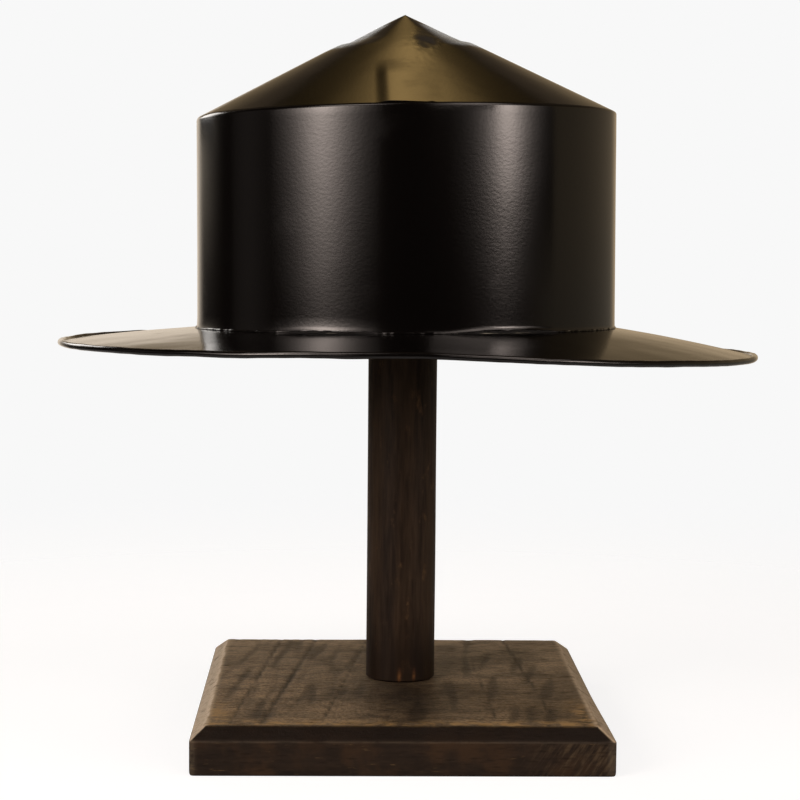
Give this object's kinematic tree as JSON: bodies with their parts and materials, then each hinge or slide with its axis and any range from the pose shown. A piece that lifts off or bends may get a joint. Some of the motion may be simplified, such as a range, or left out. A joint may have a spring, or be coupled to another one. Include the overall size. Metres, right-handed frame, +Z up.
{
  "type": "kettle hat on a wooden display stand",
  "caption": "Black painted sheet-steel kettle hat with a low conical top, upright round wall and wide dished brim with a rolled edge, resting on a plain post and board stand.",
  "frame": {"origin": "middle of the stand board's underside", "axes": "+Z up out of the board, -Y towards the hat's front, +X to the right seen from the front"},
  "size_m": [0.3616, 0.3613, 0.3695],
  "materials": {
    "black_paint": "satin black paint with a fine orange peel, on hand-worked sheet steel",
    "post_wood": "dark brown stain, half matt, with a straight grain along the post",
    "board_wood": "dark brown stain, matt, saw marked, worn pale along the top edges"
  },
  "bodies": {
    "root": {"cone_top": "black_paint", "crown_wall": "black_paint", "brim": "black_paint", "stand_post": "post_wood", "stand_base": "board_wood"}
  },
  "joints": []
}
